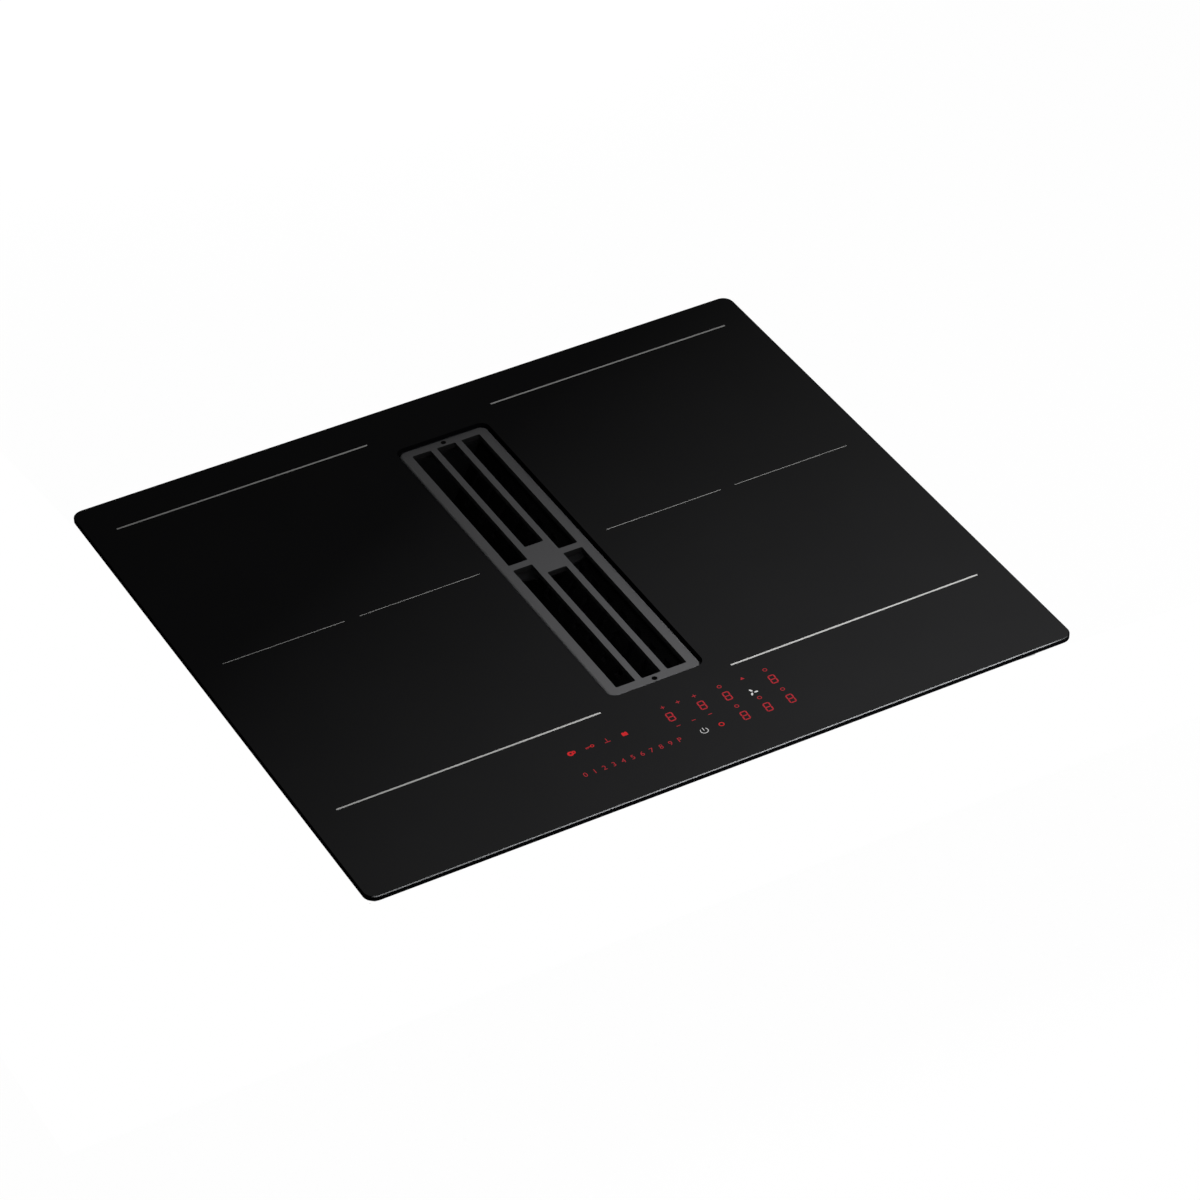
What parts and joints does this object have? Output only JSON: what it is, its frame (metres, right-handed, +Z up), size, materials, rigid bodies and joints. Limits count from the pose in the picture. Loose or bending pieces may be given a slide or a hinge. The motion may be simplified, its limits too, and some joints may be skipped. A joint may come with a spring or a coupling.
{
  "type": "downdraft cooktop",
  "caption": "Black glass induction cooktop with a central air grille, lift-out grease filter, overflow tray and under-counter blower.",
  "frame": {"origin": "centre of the glass on the plane of the worktop that it rests on", "axes": "+X to the right, +Y to the rear, +Z up, seen by someone standing at the front"},
  "size_m": [0.59, 0.515, 0.2102],
  "materials": {
    "black_glass": "polished black glass-ceramic",
    "gasket_rubber": "soft matt foam rubber",
    "collar_plastic": "matt black moulded plastic",
    "grille_coat": "fine dark grey powder coat",
    "foot_silicone": "soft black silicone",
    "filter_black": "black-coated sheet and mesh",
    "casing_steel": "galvanised sheet",
    "spring_steel": "bright spring steel",
    "copper_litz": "varnished copper litz",
    "former_plastic": "pale moulded plastic",
    "ferrite": "dull grey ferrite",
    "coil_aluminium": "mill-finish aluminium sheet",
    "mica_mat": "pale mica mat",
    "sensor_ceramic": "white ceramic",
    "circuit_board": "green solder mask",
    "black_plastic": "matt black plastic",
    "white_plastic": "matt white plastic",
    "sink_aluminium": "extruded aluminium",
    "capacitor_sleeve": "dark printed-free sleeve",
    "choke_wire": "enamelled copper wire",
    "display_red": "dark red display window",
    "housing_plastic": "fine-grained dark grey moulding",
    "impeller_plastic": "smooth grey moulding",
    "motor_steel": "zinc-plated steel",
    "lamination_steel": "stacked steel sheet",
    "polished_steel": "ground steel",
    "tray_plastic": "grey moulded plastic"
  },
  "bodies": {
    "root": {"air_well": "housing_plastic", "board_posts": "white_plastic", "cable_gland": "gasket_rubber", "capacitors": "capacitor_sleeve", "coil_former_front_left": "former_plastic", "coil_former_front_right": "former_plastic", "coil_former_rear_left": "former_plastic", "coil_former_rear_right": "former_plastic", "coil_front_left": "copper_litz", "coil_front_right": "copper_litz", "coil_plate_left": "coil_aluminium", "coil_plate_right": "coil_aluminium", "coil_rear_left": "copper_litz", "coil_rear_right": "copper_litz", "control_board": "circuit_board", "control_carrier": "black_plastic", "cooling_fan_frame_left": "black_plastic", "cooling_fan_frame_right": "black_plastic", "digit_displays": "display_red", "edge_gasket": "gasket_rubber", "ferrite_bars": "ferrite", "filter_chokes": "choke_wire", "glass_panel": "black_glass", "heat_sink_left": "sink_aluminium", "heat_sink_right": "sink_aluminium", "hob_casing": "casing_steel", "housing_screws": "motor_steel", "inlet_plate": "housing_plastic", "inlet_ring": "housing_plastic", "insulation_left": "mica_mat", "insulation_right": "mica_mat", "motor_bearings": "polished_steel", "motor_dampers": "gasket_rubber", "motor_stator": "lamination_steel", "outlet_frame": "housing_plastic", "outlet_seal": "gasket_rubber", "outlet_spigot": "housing_plastic", "plenum_tray": "housing_plastic", "power_board_left": "circuit_board", "power_board_right": "circuit_board", "retaining_springs": "spring_steel", "scroll_housing": "housing_plastic", "temperature_sensors": "sensor_ceramic", "terminal_block": "white_plastic", "terminal_cover": "black_plastic", "touch_springs": "spring_steel", "well_collar": "collar_plastic"},
    "filter": {"filter_frame": "filter_black", "filter_panels": "filter_black", "filter_handle": "filter_black"},
    "grille": {"air_grille": "grille_coat", "grille_feet": "foot_silicone"},
    "impeller": {"impeller": "impeller_plastic", "rotor_cup": "motor_steel", "motor_shaft": "polished_steel"},
    "fan_left": {"cooling_rotor_left": "black_plastic"},
    "fan_right": {"cooling_rotor_right": "black_plastic"},
    "overflow_tray": {"drip_tray": "tray_plastic"},
    "flap_upper": {"outlet_flap_upper": "black_plastic"},
    "flap_lower": {"outlet_flap_lower": "black_plastic"}
  },
  "joints": [
    {"name": "filter_lift", "type": "slide", "parent": "root", "child": "filter", "axis": [0, 0, 1], "range_m": [0, 0.1]},
    {"name": "grille_lift", "type": "slide", "parent": "filter", "child": "grille", "axis": [0, 0, 1], "range_m": [0, 0.06]},
    {"name": "impeller_spin", "type": "hinge", "parent": "root", "child": "impeller", "pos_m": [0.15, 0.04, -0.1], "axis": [0, 0, 1], "continuous": true},
    {"name": "fan_left_spin", "type": "hinge", "parent": "root", "child": "fan_left", "pos_m": [-0.215, -0.189, -0.047], "axis": [0, 0, 1], "continuous": true},
    {"name": "fan_right_spin", "type": "hinge", "parent": "root", "child": "fan_right", "pos_m": [0.215, -0.189, -0.047], "axis": [0, 0, 1], "continuous": true},
    {"name": "overflow_tray_slide", "type": "slide", "parent": "root", "child": "overflow_tray", "axis": [0, -1, 0], "range_m": [0, 0.3]},
    {"name": "flap_upper_swing", "type": "hinge", "parent": "root", "child": "flap_upper", "pos_m": [0.159, 0.234, -0.0673], "axis": [1, 0, 0], "range_deg": [0, 70]},
    {"name": "flap_lower_swing", "type": "hinge", "parent": "root", "child": "flap_lower", "pos_m": [0.159, 0.234, -0.111], "axis": [1, 0, 0], "range_deg": [0, 70]}
  ]
}
